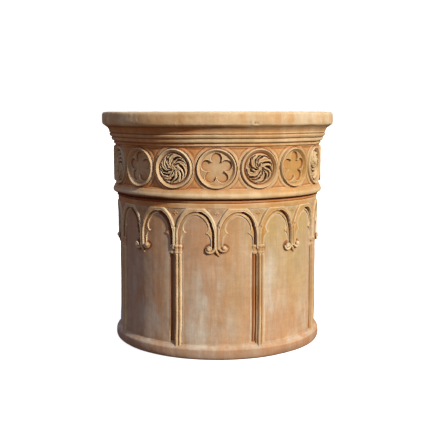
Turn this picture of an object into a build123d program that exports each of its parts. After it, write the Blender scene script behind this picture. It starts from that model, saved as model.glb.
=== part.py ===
from build123d import *
import os
from math import cos, sin, radians, sqrt, tan

# Round Gothic garden planter in hand-pressed terracotta.
# Millimetres, +Z up, origin on the axis at the ground, front towards -Y.
# Pieces are numbered from the front, turning towards +X.

# ---------------------------------------------------------------- driving dimensions
BAYS = 8                    # repeats round the pot, 45 degrees each
HEIGHT = 592.0              # ground to top of the rim
RIM_R = 300.0               # outer radius of the rim
FRIEZE_R = 266.0            # field of the frieze
SEAT_R = 256.0              # floor of the round seats that take the roundels
ROUNDEL_R = 270.0           # face of the roundel rings
ROUNDEL_RADIUS = 46.5       # roundel, across its face
ROUNDEL_RING = 39.0         # inner radius of the roundel ring
ROUNDEL_Z = 458.6
ROUNDEL_FLOOR = 260.0       # sunk floor of the roundel tracery
CUSP_R = 267.8              # face of the cinquefoil cusps
WHEEL_R = 267.4             # face of the whirl wheel
WHEEL_RADIUS = 35.0
STRING_TOP = 408.0
STRING_LOW = 378.0
BAND_LOW = 364.0
WALL_R = 256.6              # lower wall behind the arcade
WALL_R_LOW = 257.8          # lower wall just above the plinth
WALL_STRAIGHT_Z = 244.0     # the wall widens a little below this height
PLINTH_TOP = 43.0
FRIEZE_TOP = 511.2
CORNICE_TOP = 543.0
WALL_IN = 228.0             # inner radius of the pot
MOUTH_IN = 252.0            # inner radius of the mouth
SLAB_LOW, SLAB_TOP = 6.0, 34.0
DRAIN_D = 40.0
PLATE_R = 259.0             # face of the inner, trefoil order of the arches
RIB_R = 262.6               # face of the outer arch rib
SHAFT_R = 262.8             # crown of the colonnette roll
SHAFT_ROLL = 5.0            # half width of that roll
SHAFT_HALF = 13.5           # half width of the colonnette with its side fillets
CAP_LOW, CAP_TOP = 255.0, 276.0
PEND_TOP = 270.0
BALL_S, BALL_Z, BALL_RADIUS = 19.6, 265.4, 7.6
HALF_ARCH = 180.0 / BAYS / 2.0     # half an arch, in degrees


# ---------------------------------------------------------------- helpers
def ring(points):
    """A turned ring from its section, given as (radius, height) points."""
    line = Polyline(*[(r, 0, z) for r, z in points], close=True)
    return revolve(make_face(line), axis=Axis.Z)


def tube(r_in, r_out, z_low, z_top):
    return ring([(r_in, z_low), (r_out, z_low), (r_out, z_top), (r_in, z_top)])


def radial(face_sketch, r_low=200.0, r_top=290.0):
    """A prism that stands out from the pot's front: the sketch's x runs round it, y runs up."""
    plane = Plane(origin=(0, -r_low, 0), x_dir=(1, 0, 0), z_dir=(0, -1, 0))
    return extrude(plane * face_sketch, amount=r_top - r_low)


def turned(shape, degrees):
    return Rot(0, 0, degrees) * shape


def wedge(half):
    """A sector about the front, half degrees each side, taller than the pot."""
    reach = 400.0
    w = reach * tan(radians(half))
    line = Polyline((0, 0, -10), (w, -reach, -10), (-w, -reach, -10), close=True)
    return extrude(make_face(line), amount=620.0, dir=(0, 0, 1))


def one_solid(shape):
    solids = shape.solids()
    return max(solids, key=lambda s: s.volume)


def flat(points):
    return make_face(Polyline(*points, close=True))


parts = {}

# ---------------------------------------------------------------- turned body, from the ground up
PLINTH = [
    (WALL_IN, 0), (262.0, 0), (265.4, 1.2), (267.6, 4), (268.6, 9), (268.6, 13), (268.0, 18.5),
    (266.9, 25.5), (265.8, 31), (263.6, 35), (260.6, 39), (WALL_R_LOW, PLINTH_TOP), (WALL_IN, PLINTH_TOP),
]
parts["base_plinth"] = ring(PLINTH)

slab = Pos(0, 0, SLAB_LOW) * Cylinder(WALL_IN, SLAB_TOP - SLAB_LOW, align=(Align.CENTER, Align.CENTER, Align.MIN))
slab -= Pos(0, 0, SLAB_LOW - 5) * Cylinder(DRAIN_D / 2, 60, align=(Align.CENTER, Align.CENTER, Align.MIN))
parts["floor_slab"] = slab

WALL = [
    (WALL_IN, PLINTH_TOP), (WALL_R_LOW, PLINTH_TOP), (WALL_R, WALL_STRAIGHT_Z),
    (WALL_R, BAND_LOW), (WALL_IN, BAND_LOW),
]
parts["lower_wall"] = ring(WALL)

BAND = [
    (WALL_IN, BAND_LOW), (259.4, BAND_LOW), (260.6, BAND_LOW + 1.6), (260.8, 375.4),
    (260.0, 376.6), (259.4, STRING_LOW), (WALL_IN, STRING_LOW),
]
parts["arcade_band"] = ring(BAND)

STRING = [
    (WALL_IN, STRING_LOW), (259.4, STRING_LOW), (262.6, 378.8), (263.2, 380.0), (263.0, 383.2),
    (263.6, 384.4), (267.2, 386.6), (270.4, 389.2), (272.0, 392.2), (272.6, 395.4),
    (272.4, 398.8), (271.5, 401.8), (270.0, 404.8), (268.2, 407.0), (267.0, STRING_TOP), (WALL_IN, STRING_TOP),
]
parts["string_course"] = ring(STRING)

frieze = ring([
    (WALL_IN, STRING_TOP), (FRIEZE_R, STRING_TOP), (FRIEZE_R, FRIEZE_TOP),
    (236.0, FRIEZE_TOP),
])
disc = radial(Pos(0, ROUNDEL_Z) * Circle(ROUNDEL_RADIUS))
seat = disc & tube(SEAT_R, 282.0, 400.0, 520.0)
for k in range(2 * BAYS):
    frieze -= turned(seat, k * 180.0 / BAYS)
parts["frieze_wall"] = frieze

CORNICE = [
    (236.0, FRIEZE_TOP), (268.6, FRIEZE_TOP), (269.6, 512.2), (269.8, 514.8), (269.2, 516.0),
    (270.6, 517.6), (273.4, 519.4), (275.4, 521.2), (276.9, 524.6), (276.8, 526.8), (275.6, 528.0),
    (276.9, 529.2), (278.6, 530.6), (280.0, 533.0), (281.0, 536.0), (280.6, 537.4), (279.4, 538.4),
    (280.8, 539.6), (282.2, 541.2), (282.2, CORNICE_TOP), (248.0, CORNICE_TOP),
]
parts["cornice"] = ring(CORNICE)

RIM = [
    (248.0, CORNICE_TOP), (282.2, CORNICE_TOP), (282.6, 546.0), (284.6, 549.6), (289.8, 554.4),
    (295.2, 558.4), (298.2, 561.6), (299.6, 565.4), (RIM_R, 570.0), (RIM_R - 0.4, 579.0),
    (RIM_R - 1.0, 586.0), (RIM_R - 2.4, 589.8), (RIM_R - 5.6, HEIGHT), (MOUTH_IN + 8.0, HEIGHT),
    (MOUTH_IN + 3.0, 590.4), (MOUTH_IN + 0.6, 586.0), (MOUTH_IN, 580.0), (MOUTH_IN, 560.0),
]
parts["rim"] = ring(RIM)

# ---------------------------------------------------------------- roundels of the frieze
plaque = disc & tube(SEAT_R, ROUNDEL_R, 400.0, 520.0)

# cinquefoil: five sunk lobes, cusps between them that reach in from the ring
LOBE_AT, LOBE_RADIUS = 24.4, 12.4
lobes = Sketch() + Circle(18.8)
for k in range(5):
    a = radians(90 + 72 * k)
    lobes += Pos(LOBE_AT * cos(a), LOBE_AT * sin(a)) * Circle(LOBE_RADIUS)
lobes = Pos(0, ROUNDEL_Z) * lobes
step = radial(Pos(0, ROUNDEL_Z) * Circle(ROUNDEL_RING)) & tube(CUSP_R, 282.0, 400.0, 520.0)
sunk = radial(lobes) & tube(ROUNDEL_FLOOR, 282.0, 400.0, 520.0)
cinquefoil = one_solid(plaque - step - sunk)

# whirl: a wheel of curved slots in a coved dish
SLOTS = 10
dish = radial(Pos(0, ROUNDEL_Z) * (Circle(ROUNDEL_RING) - Circle(WHEEL_RADIUS))) & tube(262.0, 282.0, 400.0, 520.0)
face = radial(Pos(0, ROUNDEL_Z) * Circle(WHEEL_RADIUS + 0.5)) & tube(WHEEL_R, 282.0, 400.0, 520.0)
# one slot's middle line from the hub outwards: radius, turn in degrees, half width
SLOT_LINE = [
    (10.0, 17.0, 0.9), (14.0, 15.0, 1.8), (18.0, 9.5, 2.3), (22.0, 1.5, 2.5), (26.0, -9.5, 2.3),
    (29.5, -22.0, 1.8), (32.0, -34.0, 0.8),
]


def slot_outline(line):
    """The closed outline of a curved slot, offset to each side of its middle line."""
    mid = [(r * cos(radians(90 + t)), r * sin(radians(90 + t))) for r, t, _ in line]
    left, right = [], []
    for i, ((x, y), (_, _, w)) in enumerate(zip(mid, line)):
        (ax, ay), (bx, by) = mid[max(i - 1, 0)], mid[min(i + 1, len(mid) - 1)]
        n = sqrt((bx - ax) ** 2 + (by - ay) ** 2)
        nx, ny = -(by - ay) / n * w, (bx - ax) / n * w
        left.append((x + nx, y + ny))
        right.append((x - nx, y - ny))
    return left + right[::-1]


slots = Sketch()
for k in range(SLOTS):
    slots += Rot(0, 0, k * 360.0 / SLOTS) * flat(slot_outline(SLOT_LINE))
slots = radial(Pos(0, ROUNDEL_Z) * slots) & tube(ROUNDEL_FLOOR, 282.0, 400.0, 520.0)
whirl = one_solid(plaque - dish - face - slots)

for k in range(BAYS):
    parts[f"cinquefoil_roundel_{k + 1}"] = turned(cinquefoil, k * 360.0 / BAYS)
    parts[f"whirl_roundel_{k + 1}"] = turned(whirl, (k + 0.5) * 360.0 / BAYS)

# ---------------------------------------------------------------- arcade: two pointed arches to each bay
ARCH_LOW = PEND_TOP
BOUND = 52.6                # a little past the edge of one arch, cut back by its sector
IN_C, IN_Z, IN_RHO = -15.8, 299.7, 59.4       # inner edge of the rib, right half
OUT_C, OUT_Z, OUT_RHO = -12.8, 294.1, 70.0     # outer edge of the rib, right half
# right half of the trefoil opening, from the apex down to the foot of the jamb
TREFOIL = [
    (0.0, 350.1), (8.2, 347.6), (16.3, 342.2), (23.5, 334.6), (28.6, 326.0), (30.6, 319.0),
    (29.6, 313.2), (26.7, 308.8), (23.3, 306.3), (26.1, 304.0), (31.0, 300.9), (34.5, 295.5),
    (35.9, 288.2), (35.9, ARCH_LOW - 6.0),
]


def arc_half(c, zc, rho, z_from, count):
    """Points on the right half of a pointed arch edge, from the apex down to z_from."""
    top = zc + sqrt(rho * rho - c * c)
    pts = []
    for i in range(count + 1):
        z = top - (top - z_from) * (i / count) ** 1.6
        pts.append((c + sqrt(rho * rho - (z - zc) ** 2), z))
    pts[0] = (0.0, top)
    return pts


inner_edge = arc_half(IN_C, IN_Z, IN_RHO, IN_Z, 12) + [(IN_C + IN_RHO, ARCH_LOW - 6.0)]
outer_edge = arc_half(OUT_C, OUT_Z, OUT_RHO, 321.0, 10) + [(BOUND, 318.0), (BOUND, ARCH_LOW - 6.0)]


def mirrored(points):
    return [(-x, z) for x, z in points]


def band(outer, inner):
    """The area between two half outlines, mirrored to a whole arch."""
    left_out, left_in = mirrored(outer), mirrored(inner)
    return flat(list(reversed(left_out)) + outer[1:] + list(reversed(inner)) + left_in[1:])


sector = wedge(HALF_ARCH)
plate = radial(band(outer_edge, TREFOIL)) & tube(WALL_R, PLATE_R, ARCH_LOW, BAND_LOW)
rib = radial(band(outer_edge, inner_edge)) & tube(WALL_R, RIB_R, ARCH_LOW, BAND_LOW)
arch = (plate + rib) & sector
bay = turned(arch, -HALF_ARCH) + turned(arch, HALF_ARCH)

# what the wall and plinth fill, for trimming the applied pieces to them
core = ring([(0, 0)] + PLINTH[1:-1] + [(WALL_R, WALL_STRAIGHT_Z), (WALL_R, BAND_LOW), (0, BAND_LOW)])

# pendant: a crossbar, two curled balls and a pointed bud
a_ball = BALL_S / WALL_R * 57.2958
bud_line = Polyline((0, 0, 10), (4.2, 0, 10), (5.0, 0, 6), (4.2, 0, 2), (1.6, 0, -4), (0, 0, -5.4), close=True)
bud = Pos(0, -WALL_R - 1.2, 251.0) * revolve(make_face(bud_line), axis=Axis.Z)
bar = radial(Pos(0, (PEND_TOP + 260.0) / 2) * Rectangle(34.0, PEND_TOP - 260.0)) & tube(200.0, RIB_R - 0.6, 240.0, PEND_TOP + 10.0)
balls = [turned(Pos(0, -WALL_R, BALL_Z) * Sphere(BALL_RADIUS), s) for s in (-a_ball, a_ball)]
pendant = bar - core
for piece in balls + [bud]:
    pendant += piece - core
pendant = one_solid(pendant)

# colonnette: a roll between two side fillets, dying into the slope of the plinth
colonnette = radial(Pos(0, (CAP_LOW + 30.0) / 2) * Rectangle(2 * SHAFT_HALF, CAP_LOW - 30.0)) & tube(200.0, PLATE_R + 0.6, 30.0, CAP_LOW)
colonnette += Pos(0, -(SHAFT_R - SHAFT_ROLL), 30.0) * Cylinder(SHAFT_ROLL, CAP_LOW - 30.0, align=(Align.CENTER, Align.CENTER, Align.MIN))
colonnette = one_solid(colonnette - core)

# capital: two collars with a hollow neck between them
capital = radial(Pos(0, (CAP_LOW + CAP_TOP) / 2) * Rectangle(25.0, CAP_TOP - CAP_LOW)) & tube(200.0, 261.6, CAP_LOW, CAP_TOP)
capital += radial(Pos(0, CAP_TOP - 3.0) * Rectangle(29.0, 6.0)) & tube(200.0, 264.6, CAP_LOW, CAP_TOP)
capital += radial(Pos(0, CAP_LOW + 2.6) * Rectangle(29.0, 5.2)) & tube(200.0, 264.2, CAP_LOW, CAP_TOP)
capital_cut = capital
capital = one_solid(capital - core)

# the bay gives way to the capitals at its sides and to the pendant in the middle
bay -= turned(capital_cut, HALF_ARCH * 2)
bay -= turned(capital_cut, -HALF_ARCH * 2)
for piece in balls:
    bay -= piece
bay = one_solid(bay)

for k in range(BAYS):
    parts[f"tracery_bay_{k + 1}"] = turned(bay, k * 360.0 / BAYS)
    parts[f"pendant_{k + 1}"] = turned(pendant, k * 360.0 / BAYS)
    parts[f"colonnette_{k + 1}"] = turned(colonnette, (k + 0.5) * 360.0 / BAYS)
    parts[f"capital_{k + 1}"] = turned(capital, (k + 0.5) * 360.0 / BAYS)

# a small three-lobed leaf in the top of each spandrel
leaf_line = [(0, 347.6), (2.2, 349.6), (2.2, 351.4), (4.6, 352.0), (5.6, 354.4), (4.4, 356.8), (2.2, 357.2),
             (0, 356.2)]
leaf = radial(flat(list(reversed(mirrored(leaf_line))) + leaf_line[1:-1])) & tube(WALL_R, 259.0, 340.0, 362.0)
parts["spandrel_leaves"] = Compound(children=[turned(leaf, k * 180.0 / BAYS) for k in range(2 * BAYS)])

for name, shape in parts.items():
    export_step(shape, f"parts/{name}.step")
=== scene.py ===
import math

import bpy
import numpy as np
from mathutils import Matrix, Vector


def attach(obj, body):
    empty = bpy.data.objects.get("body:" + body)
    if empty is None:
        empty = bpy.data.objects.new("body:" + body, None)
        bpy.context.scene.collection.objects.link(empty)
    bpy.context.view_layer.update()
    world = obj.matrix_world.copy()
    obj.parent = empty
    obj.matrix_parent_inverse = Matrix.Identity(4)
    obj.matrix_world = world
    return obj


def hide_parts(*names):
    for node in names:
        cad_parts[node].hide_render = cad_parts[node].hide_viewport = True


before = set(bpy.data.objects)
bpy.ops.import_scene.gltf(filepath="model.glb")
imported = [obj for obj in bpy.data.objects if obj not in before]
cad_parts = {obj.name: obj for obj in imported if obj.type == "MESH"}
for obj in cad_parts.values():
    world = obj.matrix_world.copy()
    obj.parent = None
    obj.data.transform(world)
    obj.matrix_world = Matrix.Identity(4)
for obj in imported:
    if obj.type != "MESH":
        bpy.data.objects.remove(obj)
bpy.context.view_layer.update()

# Round Gothic planter in hand-pressed terracotta. Lengths in this script are millimetres until a mesh is
# made, when they become metres. phi is the angle round the pot: 0 at the front (-Y), positive towards +X.

TAU = 2.0 * math.pi
BAYS = 8
STEP = TAU / BAYS                # one bay
HALF = STEP / 4.0                # half an arch

# ------------------------------------------------------------------------------------------- sizes, as in the CAD
HEIGHT = 592.0
FRIEZE_R = 266.0
ROUNDEL_Z = 458.6
ROUNDEL_RADIUS = 46.5
WALL_R, WALL_R_LOW, WALL_STRAIGHT_Z = 256.6, 257.8, 244.0
BAND_LOW, STRING_LOW, STRING_TOP, FRIEZE_TOP, CORNICE_TOP = 364.0, 378.0, 408.0, 511.2, 543.0
PLINTH_TOP = 43.0
CAP_LOW, CAP_TOP = 255.0, 276.0
PEND_TOP = 270.0
WALL_IN = 228.0
IN_C, IN_Z, IN_RHO = -15.8, 299.7, 59.4
OUT_C, OUT_Z, OUT_RHO = -41.4, 298.2, 94.0
TREFOIL_HIGH = [(0.0, 350.1), (8.2, 347.6), (16.3, 342.2), (23.5, 334.6), (28.6, 326.0), (30.6, 319.0),
                (29.6, 313.2), (26.7, 308.8), (23.3, 306.3)]
TREFOIL_LOW = [(23.3, 306.3), (26.1, 304.0), (31.0, 300.9), (34.5, 295.5), (35.9, 288.2), (35.9, 262.0)]


# ------------------------------------------------------------------------------------------- small maths
def smooth(a, b, x):
    t = np.clip((x - a) / (b - a), 0.0, 1.0)
    return t * t * (3.0 - 2.0 * t)


def lattice(ix, iy, iz, seed):
    h = (ix * 374761393 + iy * 668265263 + iz * 1274126177 + seed * 974634777) & 0xFFFFFFFF
    h = ((h ^ (h >> 13)) * 1103515245) & 0xFFFFFFFF
    h = ((h ^ (h >> 15)) * 374761393) & 0xFFFFFFFF
    return ((h ^ (h >> 16)) & 0xFFFFFF) / float(0xFFFFFF) * 2.0 - 1.0


def noise(p, period, seed, octaves=1):
    """Smooth repeatable noise in about -1..1 at points p, with features about one period apart."""
    total, size, norm = 0.0, 1.0, 0.0
    q = p / period
    for octave in range(octaves):
        i = np.floor(q).astype(np.int64)
        f = q - i
        u = f * f * f * (f * (f * 6.0 - 15.0) + 10.0)
        s = seed + 31 * octave
        c = [[[lattice(i[..., 0] + a, i[..., 1] + b, i[..., 2] + d, s) for d in (0, 1)] for b in (0, 1)] for a in (0, 1)]
        x, y, z = u[..., 0], u[..., 1], u[..., 2]
        e = [[c[0][b][d] * (1 - x) + c[1][b][d] * x for d in (0, 1)] for b in (0, 1)]
        g = [e[0][d] * (1 - y) + e[1][d] * y for d in (0, 1)]
        total = total + size * (g[0] * (1 - z) + g[1] * z)
        norm += size
        size *= 0.5
        q = q * 2.03 + 17.31
    return total / norm * 1.5


def weather(p, fine=1.0):
    """The unevenness of hand-pressed, fired clay: the same field for every piece, so that they still meet."""
    p = p.reshape(-1, 3)
    x, y, z = p[:, 0], p[:, 1], p[:, 2]
    r = np.hypot(x, y)
    tall = p * (1.0, 1.0, 0.45)
    out = 0.75 * noise(tall, 210.0, 11) + 0.34 * noise(p, 74.0, 12) + 0.17 * noise(p, 27.0, 13)
    out = out + fine * (0.10 * noise(p, 9.5, 14) + 0.055 * noise(p, 3.6, 15))
    pit = noise(p, 12.5, 16) - 0.25 * noise(p, 140.0, 17)
    rough = np.maximum(smooth(286.0, 296.0, r), smooth(48.0, 38.0, z))
    out = out - fine * 0.45 * smooth(0.70, 1.0, pit) * rough
    out = out - 0.55 * smooth(284.0, 298.0, r)
    up = 0.75 * noise(p * (1.0, 1.0, 0.3), 165.0, 21) + 0.35 * noise(p, 62.0, 22)
    up = up * smooth(4.0, 60.0, z)
    phi = np.arctan2(x, -y)
    turn = lambda deg: (phi - math.radians(deg) + math.pi) % TAU - math.pi
    up = up - np.exp(-(((z - 34.0) / 9.0) ** 2)) * (-2.4 * y / np.maximum(r, 1.0) + 1.4 * np.exp(-((turn(-85) / 0.5) ** 2))) * smooth(250.0, 256.0, r)
    # the foot was trimmed by hand and isn't quite round
    out = out - smooth(17.0, 5.0, z) * smooth(250.0, 256.0, r) * (2.2 * np.exp(-((turn(-62) / 0.28) ** 2)) + 2.4 * np.exp(-((turn(40) / 0.20) ** 2)))
    up = up - 0.95 * smooth(560.0, 592.0, z)
    # the lower lip of the fascia was finished by hand and has a knocked place right of the front
    lip = np.exp(-(((z - 565.0) / 6.5) ** 2)) * smooth(288.0, 296.0, r)
    up = up + lip * (0.8 * noise(p * (1.0, 1.0, 0.2), 70.0, 23) + 0.4 * noise(p, 19.0, 24))
    knock = np.exp(-(((phi - 0.30) / 0.055) ** 2)) * lip
    out = out - knock * (0.9 + 1.5 * noise(p, 6.0, 25)).clip(0.0, 3.0)
    q = p.copy()
    scale = (r + out) / np.maximum(r, 1e-6)
    q[:, 0] *= scale
    q[:, 1] *= scale
    q[:, 2] = np.clip(z + up, 0.0, HEIGHT)
    rr = np.hypot(q[:, 0], q[:, 1])
    over = np.minimum(1.0, 299.95 / np.maximum(rr, 1e-6))
    q[:, 0] *= over
    q[:, 1] *= over
    q[:, 0] += 1.2 * smooth(46.0, 90.0, z) * (1 - smooth(330.0, 400.0, z))
    return q


def catmull(points, per):
    """A smooth line through the points."""
    p = np.array(points, float)
    p = np.vstack([2 * p[0] - p[1], p, 2 * p[-1] - p[-2]])
    out = []
    for k in range(1, len(p) - 2):
        t = np.linspace(0.0, 1.0, per, endpoint=False)[:, None]
        a, b, c, d = p[k - 1], p[k], p[k + 1], p[k + 2]
        out.append(0.5 * (2 * b + (c - a) * t + (2 * a - 5 * b + 4 * c - d) * t * t + (3 * b - a - 3 * c + d) * t ** 3))
    out.append(p[-2][None])
    return np.vstack(out)


def line_distance(x, z, line):
    """Distance from each (x, z) to a polyline."""
    best = np.full(x.shape, 1e9)
    for (ax, az), (bx, bz) in zip(line[:-1], line[1:]):
        ux, uz = bx - ax, bz - az
        n = max(ux * ux + uz * uz, 1e-12)
        t = np.clip(((x - ax) * ux + (z - az) * uz) / n, 0.0, 1.0)
        best = np.minimum(best, np.hypot(x - ax - t * ux, z - az - t * uz))
    return best


def inside(x, z, ring):
    """True where (x, z) is inside the closed outline."""
    found = np.zeros(x.shape, bool)
    for (ax, az), (bx, bz) in zip(ring, np.roll(ring, -1, axis=0)):
        crosses = (az > z) != (bz > z)
        at = (bx - ax) * (z - az) / ((bz - az) if bz != az else 1e-12) + ax
        found ^= crosses & (x < at)
    return found


# ------------------------------------------------------------------------------------------- meshes
def spots(phi, z):
    """Where salt bloom (pale) and stronger firing (warm) lie on the lower part, as soft patches. pale also holds a
    painted highlight along the plinth's upward-facing slope.
    """
    def at(deg, height, wide, tall, size):
        d = (phi - math.radians(deg) + math.pi) % TAU - math.pi
        return size * np.exp(-((d / math.radians(wide)) ** 2) - (((z - height) / tall) ** 2))
    pale = (at(-5, 165, 8, 85, 1.2) + at(-1, 95, 10, 40, 0.7) + at(27, 170, 5, 90, 0.75) + at(33, 110, 7, 40, 0.7)
            + at(31, 215, 5, 40, 0.6) + at(56, 70, 5, 55, 0.8) + at(-33, 90, 9, 60, 0.55) + at(-48, 150, 8, 90, 0.35)
            + at(-14, 75, 5, 30, 0.6) + at(13, 70, 7, 25, 0.2) + at(-26, 240, 4, 60, 0.4) + at(8, 235, 4, 30, 0.25)
            + at(84, 180, 8, 80, 0.8) + at(101, 90, 12, 60, 0.9) + at(128, 150, 7, 90, 0.8) + at(150, 110, 9, 50, 0.7)
            + at(172, 190, 6, 90, 0.9) + at(-165, 80, 12, 45, 0.8) + at(-143, 160, 7, 90, 0.7) + at(-118, 110, 9, 60, 0.8)
            + at(-95, 190, 6, 80, 0.6) + at(-76, 90, 9, 60, 0.7) + at(46, 580, 24, 26, 1.2) + at(-2, 583, 14, 12, 0.2)
            + at(150, 580, 30, 24, 0.8) + at(-120, 582, 24, 20, 0.6))
    warm = (at(-7, 285, 8, 50, 1.0) + at(10, 230, 6.5, 130, 0.95) + at(14, 130, 4, 90, 0.6) + at(-18, 300, 3, 60, 0.5)
            + at(-38, 290, 7, 50, 0.5) + at(-12, 140, 3, 80, 0.4)
            + at(75, 290, 8, 50, 0.8) + at(112, 240, 8, 90, 0.8) + at(140, 290, 8, 60, 0.7) + at(161, 230, 6, 90, 0.7)
            + at(-172, 290, 8, 50, 0.8) + at(-152, 230, 7, 80, 0.7) + at(-130, 290, 8, 50, 0.8) + at(-104, 240, 8, 80, 0.7)
            + at(-62, 280, 8, 60, 0.6) + at(-29, 568, 13, 26, 1.0) + at(-1, 571, 11, 20, 0.55)
            + at(9, 335, 9, 30, 0.35) + at(-20, 415, 16, 12, 0.7) + at(105, 560, 20, 30, 0.8) + at(-140, 455, 26, 50, 0.9)
            + at(170, 560, 14, 26, 0.8) + at(130, 335, 24, 46, 0.8) + at(-95, 335, 20, 40, 0.6))
    # painted highlight: a pale band along the plinth's upward-facing slope
    pale = pale + 0.75 * np.exp(-(((z - 33.0) / 4.0) ** 2))
    pale = pale + 0.60 * smooth(160.0, 20.0, z) * (1 - 0.20 * smooth(30.0, 25.0, z)) * (1 - 0.85 * smooth(math.radians(0), math.radians(12), phi) * smooth(math.radians(120), math.radians(90), phi))
    ochre = (at(50, 462, 26, 62, 1.2) + at(44, 335, 25, 44, 1.1) + at(40, 250, 18, 110, 0.8) + at(24, 300, 9, 40, 0.4) + at(10, 190, 7, 150, 0.40) + at(55, 200, 9, 120, 0.5) + at(45, 562, 20, 9, 0.2)
             + at(150, 455, 24, 60, 0.8) + at(-140, 200, 14, 120, 0.6) + at(160, 200, 9, 120, 0.5) + at(-120, 470, 16, 40, 0.6))
    return np.clip(pale, 0, 1.3), np.clip(warm, 0, 1.3), np.clip(ochre, 0, 1.2)


def arch_side(phi):
    """1 on the right haunch of each arch and 0 on its left one."""
    return smooth(-5.0, 14.0, WALL_R * np.sin(phi % (2 * HALF) - HALF))


def shades(name, phi, z, r):
    """Where the clay was untouched by the weather (kept), where dark red stayed in a deep undercut, and where hands and
    rain have left it pale (cream), by piece. Much of each is painted light: painted shade on the pot's left, shade
    side, in undercuts and grooves, and painted highlights on crests and rolls that face the light."""
    # left, more and right mark the pot's left shade side, the part deepest in shade and the sunlit right side; they
    # place the painted shade and painted highlight below, and back fades them out towards the back
    back = smooth(math.radians(-174), math.radians(-140), phi)
    left = smooth(math.radians(4), math.radians(-26), phi) * back
    more = smooth(math.radians(-16), math.radians(-36), phi) * back
    right = smooth(math.radians(8), math.radians(30), phi) * smooth(math.radians(130), math.radians(100), phi)
    none = np.zeros(z.shape)
    kept_and_shade, deep, cream = none, none, none
    if name == "rim":
        # painted shade under the rim, strongest on the left, shade side; painted shadow of the fascia as dark red just
        # below its lip, weaker on the sunlit right; painted highlight along the lip's lower edge away from the shade
        # side; paler along the top
        under = smooth(560.5, 557.0, z) * (r > 276.0)
        kept_and_shade = under * (0.04 + 0.62 * left)
        deep = under * np.exp(-(((z - 555.0) / 4.2) ** 2)) * (0.72 - 0.66 * right)
        cream = 0.30 * smooth(584.0, 590.0, z) + 0.25 * np.exp(-(((z - 563.0) / 3.0) ** 2)) * (1 - left)
    elif name == "cornice":
        # painted shade on the left, shade side and in the groove under the torus; the pale band on the torus is painted
        # highlight and bloom
        kept_and_shade = -0.15 + 0.70 * left
        deep = 0.45 * np.exp(-(((z - 516.5) / 2.2) ** 2)) + 0.12 * left
        cream = 0.6 * np.exp(-(((z - 523.5) / 2.6) ** 2)) * (1 - more)
    elif name == "frieze_wall":
        # painted shade on the left, shade side
        kept_and_shade = 0.10 + 0.58 * left
        deep = 0.12 * left
    elif name == "string_course":
        # redder on its upper slope; painted shadow in the undercut under the string course and on its lower face on the
        # shade side; the paler roll is wear and painted highlight
        kept_and_shade = 0.42 * smooth(400.5, 405.5, z) + 0.8 * smooth(388.5, 386.0, z) + 0.7 * more * smooth(394.5, 391.0, z)
        deep = (1.15 - 0.50 * more) * np.exp(-(((z - 384.6) / 2.8) ** 2)) + 1.1 * more * smooth(393.6, 390.6, z)
        cream = (0.46 - 0.10 * more) * (1 - 0.45 * right) * smooth(388.0, 391.0, z) * smooth(401.5, 398.0, z)
    elif name == "arcade_band":
        # painted shade on the shade side and where the band tucks under the string course; a pale line along the band's
        # ridge, wear and painted highlight
        kept_and_shade = 0.10 + 0.45 * more
        cream = 0.45 * np.exp(-(((z - 374.6) / 1.6) ** 2))
        deep = 0.5 * smooth(377.6, 379.4, z)
    elif name.startswith("tracery"):
        # painted shadow in the groove inside each rib and at the trefoil's edge on the right haunches, and over whole
        # orders on the arches left of the front; the ribs are paler on the right haunches, painted highlight, and
        # redder on the left ones
        rin, _, _, d = arch_parts(WALL_R * np.sin(phi % (2 * HALF) - HALF), z)
        side, rib = arch_side(phi), smooth(-0.3, 1.2, rin)
        groove = smooth(0.8, -0.4, rin) * smooth(-5.8, -3.6, rin)
        kept_and_shade = (0.10 + 0.50 * more * side) * (1 - rib) + 0.16 * (1 - side) * rib
        cusp = np.exp(-(((z - 304.0) / 7.0) ** 2)) * smooth(36.0, 32.0, np.abs(WALL_R * np.sin(phi % (2 * HALF) - HALF)))
        deep = np.maximum(groove, 0.8 * smooth(0.4, -0.3, d)) * (0.85 * side + 0.12 * more) * (1 - 0.30 * right)
        shut = smooth(math.radians(-14), math.radians(-27), phi) * back
        deep = np.maximum(deep, 1.10 * shut * side * (1 - rib) * (1 - 0.7 * cusp))
        cream = 0.62 * rib * (0.30 + 0.70 * side) * (1 - 0.5 * more) * (1 - 0.75 * right)
    elif name.startswith("colonnette"):
        # painted shade: dark red in the hollow left of each colonnette, on its shadow side
        across = ((phi % STEP) - STEP / 2) * WALL_R
        dark = smooth(-15.8, -14.8, across) * smooth(-0.8, -5.0, across)
        deep = (0.60 + 0.25 * smooth(-9.0, -13.0, across)) * dark
        kept_and_shade = 0.2 * dark
    elif name.startswith(("whirl", "cinquefoil")):
        # paler along the lip of each roundel: painted highlight
        cream = 0.42 * smooth(268.0, 269.6, r) * (1 - 0.6 * more) * (1 - 0.5 * right)
    elif name.startswith("pendant"):
        # painted highlight on the balls and scrolls that stand out, painted shade where the pendant meets the wall
        cream = 0.70 * smooth(WALL_R + 4.0, WALL_R + 8.0, r)
        deep = 0.55 * smooth(WALL_R + 2.6, WALL_R + 0.6, r)
    elif name == "base_plinth":
        # darker low on the plinth's face and along its bottom edge
        kept_and_shade = 0.05 * smooth(29.0, 24.0, z)
        deep = (0.54 * smooth(29.0, 24.0, z) + 0.45 * smooth(5.0, 1.5, z)) * (r > 258.0)
    elif name == "lower_wall":
        # redder higher up, among the spandrels, and on the shade side; painted shade on the far left panels
        kept_and_shade = 0.10 * smooth(318.0, 344.0, z) + 0.12 * more
        deep = 0.42 * smooth(math.radians(-43), math.radians(-58), phi) * back
    return kept_and_shade, deep, cream


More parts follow.
